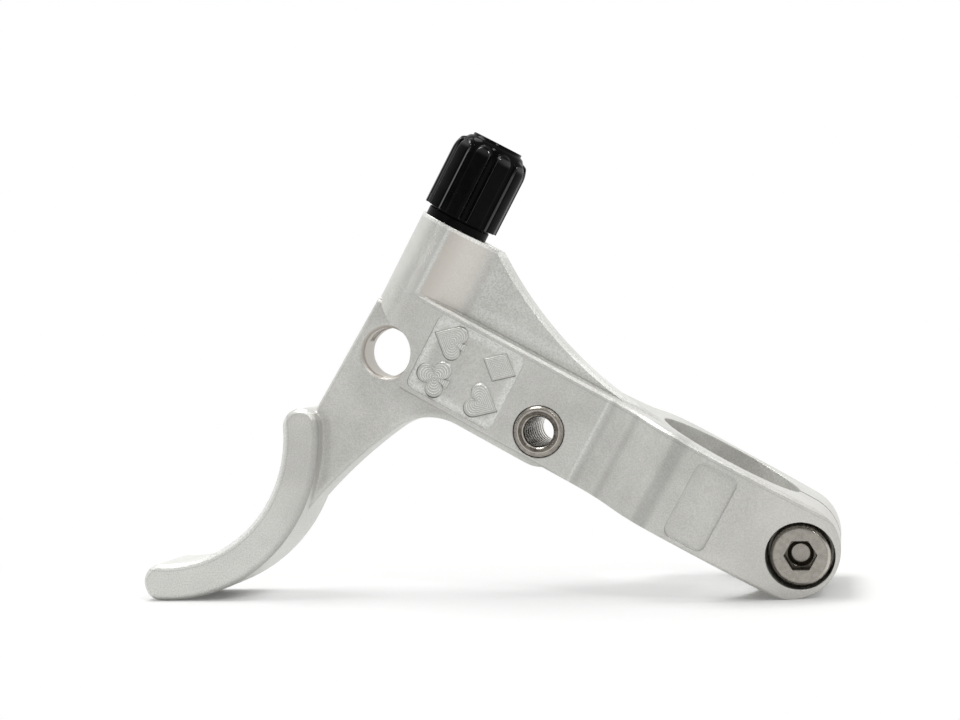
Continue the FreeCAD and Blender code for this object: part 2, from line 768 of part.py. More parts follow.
for index in range(RIB_COUNT):
    angle = dim(360.0 * index / RIB_COUNT)
    groove = doc.addObject("Part::Box", "rib_groove_%d" % index)
    bind(groove, Length=size.rib_depth * 2, Width=size.rib_gap, Height=size.cap_length - size.rib_foot)
    place(groove, (
        -size.cable_offset + groove_floor * angle.cosine() + groove_half * angle.sine(),
        groove_floor * angle.sine() - groove_half * angle.cosine(),
        cap_low + size.rib_foot,
    ), FreeCAD.Rotation(FreeCAD.Vector(0, 0, 1), angle.value))
    rib_grooves.append(groove)
keep("adjuster_cap", cut(
    "adjuster_cap", cap_blank,
    cylinder("grip_hole", cable_line, screw_radius + size.press_gap, reach), *rib_grooves))

# Checks


def check_states():
    failed = [item.Label for item in doc.Objects if {"Invalid", "Error"} & set(item.State)]
    if failed:
        raise RuntimeError("not built: " + ", ".join(failed))


doc.recompute()
check_states()

# Standing pose: the hook and the round clamp end both touch the ground

level = hook_x.value - end_centre.value
rise = hook_z.value - end_middle.value
drop = hook_outer.value - end_radius.value
lean = math.asin(drop / math.hypot(level, rise)) + math.atan2(-rise, -level)
turn = FreeCAD.Rotation(FreeCAD.Vector(0, 1, 0), math.degrees(lean))
stand = FreeCAD.Placement(FreeCAD.Vector(), turn)
stood = [item.Shape.transformed(stand.toMatrix()) for item in parts.values()]
boxes = [shape.optimalBoundingBox(False, False) for shape in stood]
middle = FreeCAD.Vector(
    (min(b.XMin for b in boxes) + max(b.XMax for b in boxes)) / 2,
    (min(b.YMin for b in boxes) + max(b.YMax for b in boxes)) / 2,
    min(b.ZMin for b in boxes))
stand.Base = -middle
for item in parts.values():
    item.Placement = stand
doc.recompute()

# Export

check_states()
os.makedirs("parts", exist_ok=True)
for name, item in parts.items():
    shape = item.Shape
    if shape.isNull() or not shape.isValid() or len(shape.Solids) != 1:
        raise RuntimeError("%s is not one valid solid" % name)
for name, item in parts.items():
    item.Shape.exportStep(os.path.join("parts", name + ".step"))
    print("%-18s %8.1f mm3" % (name, item.Shape.Volume))
print("lean %.2f, pivot at %.2f %.2f %.2f" % (math.degrees(lean), -middle.x, -middle.y, -middle.z))
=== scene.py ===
import json
import math

import bmesh
import bpy
from mathutils import Matrix, Vector


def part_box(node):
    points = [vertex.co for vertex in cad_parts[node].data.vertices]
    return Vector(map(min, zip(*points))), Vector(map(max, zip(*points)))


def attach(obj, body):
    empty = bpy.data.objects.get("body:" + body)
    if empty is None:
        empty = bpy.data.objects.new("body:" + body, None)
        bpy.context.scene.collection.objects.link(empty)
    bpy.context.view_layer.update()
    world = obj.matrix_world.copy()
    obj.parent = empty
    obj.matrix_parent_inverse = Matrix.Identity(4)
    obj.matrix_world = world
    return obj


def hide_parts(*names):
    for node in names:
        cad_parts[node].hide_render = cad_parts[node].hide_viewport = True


# Bicycle brake lever in machined aluminium, standing on its hook and clamp end on a white studio table.
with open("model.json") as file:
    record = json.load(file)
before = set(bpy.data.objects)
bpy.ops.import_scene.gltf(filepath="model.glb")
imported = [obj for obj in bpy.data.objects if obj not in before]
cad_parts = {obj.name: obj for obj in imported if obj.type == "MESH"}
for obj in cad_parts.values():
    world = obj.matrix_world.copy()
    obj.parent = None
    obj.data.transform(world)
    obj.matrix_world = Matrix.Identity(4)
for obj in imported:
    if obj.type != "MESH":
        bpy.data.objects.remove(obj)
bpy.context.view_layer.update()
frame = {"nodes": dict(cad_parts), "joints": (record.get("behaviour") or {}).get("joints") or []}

# Perch: the main body, with the cable boss, web, front plate and front clamp half in one piece.
# It is milled from a bar of aluminium, bead-blasted to a fine even grain and clear anodised.
# The round boss keeps a smoother turned finish, with a narrow blasted land along its front,
# which is painted lighter as a highlight, and a painted warm reflection on its right side.
MM = 0.001
ALUMINIUM = (0.70, 0.697, 0.665, 1)
ALUMINIUM_SHADE = (0.51, 0.507, 0.48, 1)
# The bright and dark tones are mixed in mostly where light and shade are painted on; the dark one also draws
# dark joints.
BRIGHT_ALUMINIUM = (0.90, 0.91, 0.88, 1)
WARM_ALUMINIUM = (0.57, 0.54, 0.495, 1)
DARK_ALUMINIUM = (0.25, 0.248, 0.235, 1)
BLASTED = {"Metallic": 0.7}
BLASTED_ROUGHNESS, GRAIN_ROUGHNESS, SMOOTH_GLOSS = 0.36, 0.10, 0.06
NOISE_RANGE = (0.3, 0.7)
GRAIN = 0.22 * MM
GRAIN_DEPTH = 0.012 * MM
GRAIN_SHARE = 0.62
PATCH = 7.0 * MM
SMOOTHING = 0.75
BRIGHT_EVEN = 0.35
EDGE_ROUND = 0.24 * MM
# Places along the perch and up it from the pivot, and depths from the cable's mid-plane
CABLE_LINE = -25.8 * MM
PLATE_TOP, PLATE_LOW = 9.3 * MM, -4.3 * MM
PLATE_FRONT = -5.3 * MM
PLATE_END = (3.0 * MM, 7.0 * MM)
FRONT_FADE = (PLATE_FRONT + 0.25 * MM, PLATE_FRONT + 0.45 * MM)
PLATE_STEP = (PLATE_TOP - 0.3 * MM, PLATE_TOP + 0.3 * MM)
STEP_SHADOW, STEP_SHADOW_SOFT = (PLATE_TOP + 0.05 * MM, PLATE_TOP + 0.30 * MM), 0.10 * MM
PLATE_EDGE_SHADE, PLATE_EDGE_SHADE_SOFT = (PLATE_TOP - 0.85 * MM, PLATE_TOP - 0.70 * MM), 0.08 * MM
LOW_EDGE_SHADE = (PLATE_LOW + 0.15 * MM, PLATE_LOW + 0.35 * MM)
BOSS_TOP = 20.1 * MM
BOSS_RIM_HIGHLIGHT = (BOSS_TOP - 0.60 * MM, BOSS_TOP - 0.45 * MM)
BOSS_END = (-20.0 * MM, -17.2 * MM)
BOSS_FLANK_SHADE, BOSS_FLANK_SHADE_SOFT = (-18.6 * MM, -17.6 * MM), 0.7 * MM
BOSS_WARM_REFLECTION = (CABLE_LINE + 0.5 * MM, CABLE_LINE + 1.2 * MM)
LAND, LAND_SOFT = (CABLE_LINE + 0.25 * MM, CABLE_LINE + 0.75 * MM), 0.20 * MM
LAND_DEPTH = (-5.1 * MM, -4.9 * MM)
PAST_LAND = (CABLE_LINE + 1.0 * MM, CABLE_LINE + 2.5 * MM)
WEB_START = (CABLE_LINE + 2.0 * MM, CABLE_LINE + 4.0 * MM)
WEB_FOOT_LIGHT, WEB_FOOT_LIGHT_SOFT = (PLATE_TOP + 0.6 * MM, PLATE_TOP + 2.4 * MM), 0.6 * MM
WEB_FOOT_LIGHT_START = (-18.0 * MM, -16.5 * MM)
CLAMP_WARM = (27.0 * MM, 37.0 * MM)
POCKET_LEFT, POCKET_RIGHT = -20.7 * MM, -6.4 * MM
POCKET_LOW, POCKET_HIGH = -3.45 * MM, 8.4 * MM
POCKET_FLOOR = -4.95 * MM
POCKET_SOFT = 0.1 * MM
POCKET_BORDER, BORDER_SOFT = 1.1 * MM, 0.8 * MM
FLOOR_DEPTH, FLOOR_DEPTH_SOFT = (POCKET_FLOOR - 0.15 * MM, POCKET_FLOOR + 0.20 * MM), 0.05 * MM
WALL_HEIGHT = (POCKET_LOW - 0.3 * MM, POCKET_HIGH + 0.1 * MM)
WALL_FACING = (0.3, 0.7)
SPLIT, SPLIT_GAP = 5.3 * MM, 0.5 * MM
SEAM_REACH, SEAM_SOFT = 0.22 * MM, 0.06 * MM
SEAM_START = (27.0 * MM, 29.0 * MM)
JOG_HIGHLIGHT = (6.8 * MM, 7.15 * MM)
JOG_HIGHLIGHT_SOFT = 0.15 * MM
# Bands of painted shade down the jog from the plate to the clamp, where its curved faces turn from the
# light:
# first and last place in millimetres, share of shade
JOG_SHADE_BANDS = [(7.4, 20.4, 0.08), (7.5, 8.3, 0.22), (11.1, 12.0, 0.26), (17.8, 19.8, 0.26)]
JOG_SHADE_SOFT = 0.5 * MM

RISE = Vector(next(j["axis"] for j in frame["joints"] if j["name"] == "adjuster_slide"))
ALONG = Vector((RISE.z, 0, -RISE.x))
DEPTH = Vector((0, 1, 0))
pivot_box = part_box("pivot_sleeve")
detent_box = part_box("adjuster_detent")
PIVOT = Vector(((pivot_box[0].x + pivot_box[1].x) / 2, (detent_box[0].y + detent_box[1].y) / 2,
                (pivot_box[0].z + pivot_box[1].z) / 2))


class Field:
    """A shader socket that takes part in plain arithmetic; node() makes any other node of its tree."""

    def __init__(self, tree, socket=None):
        self.tree = tree
        self.socket = socket

    def node(self, kind, settings, sockets, output=0):
        made = self.tree.nodes.new("ShaderNode" + kind)
        for name, value in settings.items():
            setattr(made, name, value)
        for name, value in sockets.items():
            self.join(made.inputs[name], value)
        return Field(self.tree, made.outputs[output])

    def join(self, socket, value):
        if isinstance(value, Field):
            self.tree.links.new(value.socket, socket)
        else:
            socket.default_value = value

    def feed(self, name, value):
        """Joins a value to a socket of the material's own shader."""
        self.join(self.tree.nodes["Principled BSDF"].inputs[name], value)

    def math(self, operation, *values):
        return self.node("Math", {"operation": operation}, dict(enumerate(values)))

    def __add__(self, other):
        return self.math("ADD", self, other)

    def __radd__(self, other):
        return self.math("ADD", other, self)

    def __sub__(self, other):
        return self.math("SUBTRACT", self, other)

    def __rsub__(self, other):
        return self.math("SUBTRACT", other, self)

    def __mul__(self, other):
        return self.math("MULTIPLY", self, other)

    def __rmul__(self, other):
        return self.math("MULTIPLY", other, self)


def surface(name, constants):
    """A new material with these fixed values on its shader, and a field to start its nodes from."""
    material = bpy.data.materials.new(name)
    material.use_nodes = True
    start = Field(material.node_tree)
    for socket, value in constants.items():
        start.feed(socket, value)
    return material, start


def ramp(value, low, high):
    """A smooth step from 0 at low to 1 at high."""
    return value.node("MapRange", {"interpolation_type": "SMOOTHSTEP"},
                      {"Value": value, "From Min": low, "From Max": high})


def within(value, low, high, soft):
    """1 between low and high, fading to 0 over twice the distance soft."""
    return ramp(value, low - soft, low + soft) * (1 - ramp(value, high - soft, high + soft))


def total(*marks):
    """The sum of marks, each of them a mask and its share."""
    added = marks[0][0] * marks[0][1]
    for mask, share in marks[1:]:
        added = added + mask * share
    return added


def place(start):
    """A point's place in the object's own frame."""
    return start.node("TexCoord", {}, {}, "Object")


def dot(first, second):
    """The dot product of two vectors."""
    return first.node("VectorMath", {"operation": "DOT_PRODUCT"}, {0: first, 1: second}, "Value")


def noise(start, size, detail=2.0):
    """Noise stretched over 0 to 1, with features about size metres across."""
    pattern = {"Vector": place(start), "Scale": 1 / size, "Detail": detail}
    return ramp(start.node("TexNoise", {}, pattern, "Fac"), *NOISE_RANGE)


def mix(start, factor, first, second):
    """A blend of two colours."""
    return start.node("Mix", {"data_type": "RGBA"}, {0: factor, 6: first, 7: second}, 2)


def from_pivot(start):
    """How far a point lies from the pivot along the perch, along the pivot and along the cable."""
    away = start.node("VectorMath", {"operation": "SUBTRACT"}, {0: place(start), 1: PIVOT})
    return [dot(away, axis) for axis in (ALONG, DEPTH, RISE)]


def rounded_bump(start, height, depth, edge):
    """A bumped normal over edges that look rounded to a radius."""
    normal = start.node("Bevel", {"samples": 6}, {"Radius": edge})
    return start.node("Bump", {}, {"Strength": 1.0, "Distance": depth, "Height": height, "Normal": normal})


def blasted(start, smooth=0.0, warm=0.0, bright=0.0, dark=0.0, edge=EDGE_ROUND):
    """Bead-blasted, clear anodised aluminium; smooth, warm, bright and dark are shares from 0 to 1.

    Bright mostly mixes in painted light and highlights, dark painted shade and shadows, and also dark
    joints.
    """
    grain = noise(start, GRAIN, 3.0)
    blotch = noise(start, PATCH)
    even_grain = grain * (1 - SMOOTHING * smooth) + SMOOTHING / 2 * smooth
    tone = GRAIN_SHARE * even_grain + blotch * (1 - GRAIN_SHARE)
    colour = mix(start, tone, ALUMINIUM_SHADE, ALUMINIUM)
    colour = mix(start, warm, colour, WARM_ALUMINIUM)
    colour = mix(start, bright * (BRIGHT_EVEN + grain * (1 - BRIGHT_EVEN)), colour, BRIGHT_ALUMINIUM)
    colour = mix(start, dark, colour, DARK_ALUMINIUM)
    start.feed("Base Color", colour)
    start.feed("Roughness", BLASTED_ROUGHNESS + grain * GRAIN_ROUGHNESS - SMOOTH_GLOSS * smooth)
    start.feed("Normal", rounded_bump(start, grain, GRAIN_DEPTH, edge))


def dress(node, material):
    """Gives a CAD node its material."""
    item = frame["nodes"][node]
    item.data.materials.clear()
    item.data.materials.append(material)


def seam(along, depth):
    """The dark joint of the two clamp halves round their bolted end."""
    joint = within(depth, SPLIT - SEAM_REACH, SPLIT + SPLIT_GAP + SEAM_REACH, SEAM_SOFT)
    return joint * ramp(along, *SEAM_START)


perch_metal, perch = surface("perch aluminium", BLASTED)
along, depth, up = from_pivot(perch)
front = 1 - ramp(depth, *FRONT_FADE)
above_plate = ramp(up, *PLATE_STEP)
past_land = ramp(along, *PAST_LAND)
boss = above_plate * (1 - ramp(along, *BOSS_END))
# Painted shade on the boss's flank.
boss_flank_shade = above_plate * within(along, *BOSS_FLANK_SHADE, BOSS_FLANK_SHADE_SOFT)
# A painted highlight along the boss's top rim.
boss_rim_highlight = ramp(up, *BOSS_RIM_HIGHLIGHT)
# The land along the boss's front keeps the blast grain and is painted lighter, as a highlight.
land_highlight = within(along, *LAND, LAND_SOFT) * boss * (1 - ramp(depth, *LAND_DEPTH))
# Painted light on the web.
web = above_plate * ramp(along, *WEB_START)
# Painted light on the web's foot, just above the plate.
web_foot_light = within(up, *WEB_FOOT_LIGHT, WEB_FOOT_LIGHT_SOFT) * ramp(along, *WEB_FOOT_LIGHT_START)
# A painted shadow in the corner just above the plate's top step.
step_shadow = within(up, *STEP_SHADOW, STEP_SHADOW_SOFT) * past_land
# A painted line of shade just below the plate's top edge.
plate_edge_shade = within(up, *PLATE_EDGE_SHADE, PLATE_EDGE_SHADE_SOFT) * past_land * front
# Painted shade along the plate's low edge.
low_edge_shade = front * (1 - ramp(up, *LOW_EDGE_SHADE)) * (1 - ramp(along, *PLATE_END))

# The pocket of the plate has a bright border on its floor, and painted shade on its walls like the one on
# the clamp.
pocket_width = within(along, POCKET_LEFT, POCKET_RIGHT, POCKET_SOFT)
pocket_height = within(up, POCKET_LOW, POCKET_HIGH, POCKET_SOFT)
pocket_floor = within(depth, *FLOOR_DEPTH, FLOOR_DEPTH_SOFT)
middle_width = within(along, POCKET_LEFT + POCKET_BORDER, POCKET_RIGHT - POCKET_BORDER, BORDER_SOFT)
middle_height = within(up, POCKET_LOW + POCKET_BORDER, POCKET_HIGH - POCKET_BORDER, BORDER_SOFT)
pocket_border = pocket_width * pocket_height * pocket_floor * (1 - middle_width * middle_height)
facing = perch.math("ABSOLUTE", dot(perch.node("NewGeometry", {}, {}, "Normal"), DEPTH))
pocket_wall_shade = front * (1 - ramp(facing, *WALL_FACING)) * within(up, *WALL_HEIGHT, POCKET_SOFT)

# A painted highlight on the jog's ridge, and bands of painted shade down the jog.
jog_highlight = front * within(along, *JOG_HIGHLIGHT, JOG_HIGHLIGHT_SOFT)
jog_shade_bands = [(front * within(along, low * MM, high * MM, JOG_SHADE_SOFT), share)
             for low, high, share in JOG_SHADE_BANDS]
# The boss's right side takes a painted warm reflection, and the clamp's end a faint warm tint.
blasted(
    perch,
    smooth=boss * (1 - land_highlight),
    warm=total((boss * ramp(along, *BOSS_WARM_REFLECTION), 1.0), (ramp(along, *CLAMP_WARM), 0.25)),
    bright=total((land_highlight, 0.55), (jog_highlight, 0.5), (pocket_border, 0.9), (web, 0.28), (boss_rim_highlight, 0.7),
                 (web_foot_light, 0.35)),
    dark=total((pocket_wall_shade, 0.7), (seam(along, depth), 1.0), *jog_shade_bands, (step_shadow, 0.35),
               (plate_edge_shade, 0.25), (low_edge_shade, 0.45), (boss_flank_shade, 0.16)))
dress("main_body", perch_metal)

# Suit pips: a spade, a diamond, a club and a heart left standing in the pocket of the front plate.
# They are milled from the perch itself, and the ball cutter's stepped passes show as contour lines.
PIP_RAYS = 180
PIP_TOP = 0.30 * MM
PIP_SEAT = 0.05 * MM
PIP_SLOPE = 0.88
PIP_SMOOTH = 0.5
PASS_COUNT = 6
PASS_DEPTH = 0.06 * MM
PASS_HALF = 0.04
PASS_MIDDLE = 0.7
AWAY_FROM_KEY_LAMP = Vector((-0.7, 0, -0.7))
SHADOW_SIDE = (-0.1, 0.5)
PIP_WALL_SHADE = (PIP_TOP - PASS_DEPTH * 1.6, PIP_TOP - PASS_DEPTH * 1.1)
PIP_LINE_HIGHLIGHT = (PIP_TOP - PASS_DEPTH * 0.9, PIP_TOP - PASS_DEPTH * 0.2)
LEAF_SIDES = [(-0.36, -2.39), (0.55, -1.35), (0.55, 1.35), (-0.36, 2.39)]
PIPS = [
    # centre along the perch and up, turn (1 or -1), round lobes, straight-sided outlines, all in millimetres
    ((-17.3, 5.45), 1, [(0.55, 1.35, 1.38), (0.55, -1.35, 1.38)],
     [[(-3.1, 0.0)] + LEAF_SIDES, [(0.0, 0.0), (2.3, -0.62), (2.3, 0.62)]]),
    ((-9.4, 5.45), 1, [], [[(-2.8, 0.0), (0.0, -2.4), (2.8, 0.0), (0.0, 2.4)]]),
    ((-17.2, -0.4), 1, [(0.0, 0.0, 0.9), (-1.6, 0.0, 1.45), (0.6, 1.55, 1.4), (0.6, -1.55, 1.4)],
     [[(0.0, 0.0), (2.4, -0.6), (2.4, 0.6)]]),
    ((-9.7, -0.4), -1, [(0.55, 1.3, 1.4), (0.55, -1.3, 1.4)], [[(-3.1, 0.0)] + LEAF_SIDES]),
]


def edge_reach(way, lobes, outlines):
    """How far a pip reaches from its centre in one direction, in millimetres."""
    reach = 0.0
    for x, y, radius in lobes:
        ahead = way.x * x + way.y * y
        room = radius ** 2 - x ** 2 - y ** 2 + ahead ** 2
        if room > 0:
            reach = max(reach, ahead + math.sqrt(room))
    for corners in outlines:
        for first, last in zip(corners, corners[1:] + corners[:1]):
            side = Vector(last) - Vector(first)
            across = way.x * side.y - way.y * side.x
            if abs(across) < 1e-9:
                continue
            share = (first[0] * way.y - first[1] * way.x) / across
            ahead = (first[0] * side.y - first[1] * side.x) / across
            if -1e-6 <= share <= 1 + 1e-6:
                reach = max(reach, ahead)
    return reach


def new_piece(name, mesh, body, material):
    """Turns a mesh into a piece of the object that rides on a body and has a material."""
    data = bpy.data.meshes.new(name)
    bmesh.ops.recalc_face_normals(mesh, faces=mesh.faces)
    mesh.to_mesh(data)
    mesh.free()
    item = bpy.data.objects.new(name, data)
    bpy.context.scene.collection.objects.link(item)
    data.materials.append(material)
    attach(item, body)
    return item


def skin(mesh, rings):
    """Faces between rings of vertices, each ring closed on itself."""
    for lower, upper in zip(rings, rings[1:]):
        for i in range(len(lower)):
            j = (i + 1) % len(lower)
            mesh.faces.new((lower[i], lower[j], upper[j], upper[i]))


pass_rings = [(1.0, -PIP_SEAT), (PIP_SLOPE, PIP_TOP)]
for number in range(1, PASS_COUNT + 1):
    line = PIP_SLOPE * (1 - number / (PASS_COUNT + PASS_MIDDLE))
    pass_rings += [(line + PASS_HALF, PIP_TOP), (line, PIP_TOP - PASS_DEPTH), (line - PASS_HALF, PIP_TOP)]
pips = bmesh.new()
for (centre_x, centre_z), turn, lobes, outlines in PIPS:
    centre = PIVOT + ALONG * (centre_x * MM) + RISE * (centre_z * MM) + DEPTH * POCKET_FLOOR
    rim = []
    for ray in range(PIP_RAYS):
        angle = math.tau * ray / PIP_RAYS
        way = Vector((math.cos(angle), math.sin(angle)))
        rim.append((ALONG * (way.x * turn) + RISE * way.y) * (edge_reach(way, lobes, outlines) * MM))
    rings = [[pips.verts.new(centre + arm * share - DEPTH * height) for arm in rim]
             for share, height in pass_rings]
    skin(pips, rings)
    pips.faces.new(rings[-1])
pip_metal, pip = surface("pip aluminium", BLASTED)
pip_height = POCKET_FLOOR - from_pivot(pip)[1]
# Painted shadow on the pips' walls that face away from the key lamp.
shadow_side = ramp(dot(pip.node("NewGeometry", {}, {}, "Normal"), AWAY_FROM_KEY_LAMP), *SHADOW_SIDE)
# Painted shade on all the pips' walls.
pip_wall_shade = 1 - ramp(pip_height, *PIP_WALL_SHADE)
# The contour lines of the passes are painted lighter, as highlights, and the rest of the top a little
# darker.
pip_line_highlight = 1 - ramp(pip_height, *PIP_LINE_HIGHLIGHT)
blasted(
    pip,
    smooth=PIP_SMOOTH,
    bright=total((pip_line_highlight * (1 - pip_wall_shade), 1.5)),
    dark=total((1 - pip_line_highlight, 0.10), (pip_wall_shade, 0.10), (pip_wall_shade * shadow_side, 0.90)))
new_piece("suit_pips", pips, "perch", pip_metal)

# Clamp cap: the rear half of the bar clamp, a strap milled from the same bar stock as the perch.
# Its finish is the same blast and anodise, and the pivot sleeve and clamp bolt hold it on.
CAP_SEAM = 1.2
cap_metal, cap = surface("cap aluminium", BLASTED)
cap_along, cap_depth, _ = from_pivot(cap)
blasted(cap, dark=seam(cap_along, cap_depth) * CAP_SEAM)
dress("clamp_cap", cap_metal)

# Lever blade: a flat arm with the pivot eye, the cable nipple's hole and a broad two-finger hook.
# It is milled from plate aluminium, its edges broken all round, then blasted and anodised.
BLADE_ROUND = 0.75 * MM
NIPPLE_HOLE_UP = -0.8 * MM
NIPPLE_RIM = (4.0 * MM, 4.15 * MM)
HOOK_LEFT, HOOK_LOW = -50.8 * MM, -28.4 * MM
HOOK_INNER, HOOK_OUTER = 19.5 * MM, 25.0 * MM
HOOK_FRONT = (-5.1 * MM, -4.9 * MM)
INNER_EDGE_HIGHLIGHT = (HOOK_INNER + 0.7 * MM, HOOK_INNER + 0.9 * MM)
EDGE_SHADE_LINE, EDGE_SHADE_LINE_SOFT = (HOOK_INNER + 0.9 * MM, HOOK_INNER + 1.05 * MM), 0.12 * MM
OUTER_EDGE_SHADE = (HOOK_OUTER - 1.1 * MM, HOOK_OUTER - 0.1 * MM)
HOOK_LIGHT = (-34.0 * MM, -24.0 * MM)


def reach_from(first, second):
    """The distance that two offsets at right angles make together."""
    return first.math("SQRT", first * first + second * second)


blade_metal, blade = surface("blade aluminium", BLASTED)
blade_along, blade_depth, blade_up = from_pivot(blade)
from_hole = reach_from(blade_along - CABLE_LINE, blade_up - NIPPLE_HOLE_UP)
from_hook = reach_from(blade_along - HOOK_LEFT, blade_up - HOOK_LOW)
hook_front = 1 - ramp(blade_depth, *HOOK_FRONT)
# Painted light on the hook's low end and along its inner edge, so that the hook looks rounded.
hook_low_light = 1 - ramp(blade_up, *HOOK_LIGHT)
inner_edge_highlight = hook_front * (1 - ramp(from_hook, *INNER_EDGE_HIGHLIGHT))
# Painted shade in a line beside the inner edge and along the hook's outer edge.
edge_shade_line = hook_front * within(from_hook, *EDGE_SHADE_LINE, EDGE_SHADE_LINE_SOFT)
outer_edge_shade = hook_front * ramp(from_hook, *OUTER_EDGE_SHADE)
blasted(
    blade,
    warm=1 - ramp(from_hole, *NIPPLE_RIM),
    bright=total((hook_low_light, 0.35), (inner_edge_highlight, 0.5)),
    dark=total((edge_shade_line, 0.25), (outer_edge_shade, 0.38)),
    edge=BLADE_ROUND)
dress("lever_blade", blade_metal)

# Pivot: a hollow stainless sleeve turned on a lathe, with an M5 thread tapped right through it.
# Two sintered bronze bushes pressed in the blade's eye run on it, and a spring steel ring holds it.
STAINLESS = (0.60, 0.57, 0.52, 1)
STAINLESS_SHADE = (0.10, 0.088, 0.07, 1)
SPRING_STEEL = (0.33, 0.32, 0.31, 1)
SPRING_STEEL_SHADE = (0.20, 0.19, 0.19, 1)
BRONZE = (0.62, 0.42, 0.22, 1)
BRONZE_SHADE = (0.42, 0.27, 0.14, 1)
TURNED_PITCH = 0.11 * MM
TURNED_DEPTH = 0.004 * MM
TURNED_WEAR = 0.7 * MM
WEAR_ROUGHNESS = 0.10
PLAIN_TONE, PLAIN_WEAR = 0.35, 0.5
SLEEVE_HEAD, SLEEVE_TUBE, RING_SEAT = 3.75 * MM, 3.0 * MM, 2.6 * MM
SLEEVE_HEAD_HEIGHT = 1.2 * MM
SLEEVE_CHAMFER = 0.4 * MM
SLEEVE_TAIL = 0.7 * MM
THREAD_PITCH = 0.8 * MM
THREAD_CREST, THREAD_ROOT = 2.15 * MM, 2.30 * MM
THREAD_LIGHT_COLOUR = (0.95, 0.94, 0.92, 1)
THREAD_LIGHT_RANGE = (0.2, 0.6)
FLANK_SLOPE, FLANK_SHIFT = 1.25, 0.125
THREAD_STEPS = 8
TURN_STEPS = 96
SHARP_CORNER = math.radians(40)
# Rings of painted highlight and painted shade on the pivot's end, from inside out:
# first and last radius in millimetres, tone from dark to bright
PIVOT_LIGHT_AND_SHADE_BANDS = [
    (2.25, 2.42, 1.0), (2.42, 2.95, 0.05), (2.95, 3.12, 1.0), (3.12, 3.62, 0.45), (3.62, 4.0, 0.0)]
BAND_TONE, BAND_WEAR = 0.8, 0.2
BAND_SOFT = 0.04 * MM
SOCKET_SHADE = 0.85


def turned(name, colour, shade, roughness, axis_point, bands=(), thread_start=None, socket=None):
    """Lathe-turned steel with rings and bands about an axis along Y.

    A thread begins past a depth, and a socket past a depth between two radii.
    The bands, the thread's lighter turns and the socket's darker walls are painted light and shade.
    """
    material, start = surface(name, {"Metallic": 1.0})
    away = start.node("VectorMath", {"operation": "SUBTRACT"}, {0: place(start), 1: axis_point})
    flat = start.node("VectorMath", {"operation": "MULTIPLY"}, {0: away, 1: (1, 0, 1)})
    radius = start.node("VectorMath", {"operation": "LENGTH"}, {0: flat}, "Value")
    rings = start.math("PINGPONG", radius * (1 / TURNED_PITCH), 1.0)
    wear = noise(start, TURNED_WEAR)
    tone = wear * BAND_WEAR if bands else PLAIN_TONE + wear * PLAIN_WEAR
    for low, high, share in bands:
        tone = tone + within(radius, low * MM, high * MM, BAND_SOFT) * (BAND_TONE * share)
    # Painted shade on the socket's walls.
    if socket:
        socket_start, inner, outer = socket
        walls = ramp(dot(away, DEPTH), socket_start, socket_start + 0.3 * MM) * within(
            radius, inner, outer, 0.05 * MM)
        tone = tone * (1 - walls * SOCKET_SHADE)
    # The tapped thread is painted lighter, with painted light and shade in rings along its turns.
    if thread_start is not None:
        length = dot(away, DEPTH)
        tapped = ramp(length, thread_start, thread_start + 0.2 * MM) * (
            1 - ramp(radius, THREAD_ROOT, THREAD_ROOT + 0.05 * MM))
        thread_light = ramp(start.math("PINGPONG", length * (1 / THREAD_PITCH), 1.0), *THREAD_LIGHT_RANGE)
        tone = tone * (1 - tapped) + tapped * thread_light
        colour = mix(start, tapped, colour, THREAD_LIGHT_COLOUR)
    start.feed("Base Color", mix(start, tone, shade, colour))
    start.feed("Roughness", roughness + wear * WEAR_ROUGHNESS)
    start.feed("Normal", rounded_bump(start, rings, TURNED_DEPTH, EDGE_ROUND))
    return material


def turned_ring(mesh, base, axis, height, radius, steps=TURN_STEPS):
    """A ring of vertices about an axis; its radius is a number, or a function of angle and height."""
    ring = []
    for i in range(steps):
        angle = math.tau * i / steps
        away = ALONG * math.cos(angle) + axis.cross(ALONG) * math.sin(angle)
        reach = radius(angle, height) if callable(radius) else radius
        ring.append(mesh.verts.new(base + axis * height + away * reach))
    return ring


def thread_share(angle, height, pitch):
    """How far up a thread's flank a point lies, from 0 at the root to 1 at the crest."""
    phase = (height / pitch - angle / math.tau) % 1.0
    return min(max(FLANK_SLOPE * abs(2 * phase - 1) - FLANK_SHIFT, 0.0), 1.0)


def sleeve_bore(angle, height):
    """The tapped bore's radius, opened by the chamfer at its mouth."""
    thread = THREAD_ROOT + (THREAD_CREST - THREAD_ROOT) * thread_share(angle, height, THREAD_PITCH)
    return max(thread, THREAD_CREST + SLEEVE_CHAMFER - height)


def smooth_turned(item):
    """Smooth shading, with the turned corners kept sharp."""
    item.data.shade_smooth()
    item.data.set_sharp_from_angle(angle=SHARP_CORNER)


sleeve_front = Vector((PIVOT.x, pivot_box[0].y, PIVOT.z))
sleeve_length = pivot_box[1].y - pivot_box[0].y
seat_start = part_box("pivot_ring")[0].y - pivot_box[0].y
seat_end = sleeve_length - SLEEVE_TAIL
sleeve_profile = [
    (0.0, SLEEVE_HEAD - SLEEVE_CHAMFER), (SLEEVE_CHAMFER, SLEEVE_HEAD), (SLEEVE_HEAD_HEIGHT, SLEEVE_HEAD),
    (SLEEVE_HEAD_HEIGHT, SLEEVE_TUBE), (seat_start, SLEEVE_TUBE), (seat_start, RING_SEAT),
    (seat_end, RING_SEAT), (seat_end, SLEEVE_TUBE), (sleeve_length, SLEEVE_TUBE)]
bore_rings = round(sleeve_length / THREAD_PITCH * THREAD_STEPS)
sleeve_profile += [(sleeve_length * (1 - i / bore_rings), sleeve_bore) for i in range(bore_rings + 1)]
sleeve = bmesh.new()
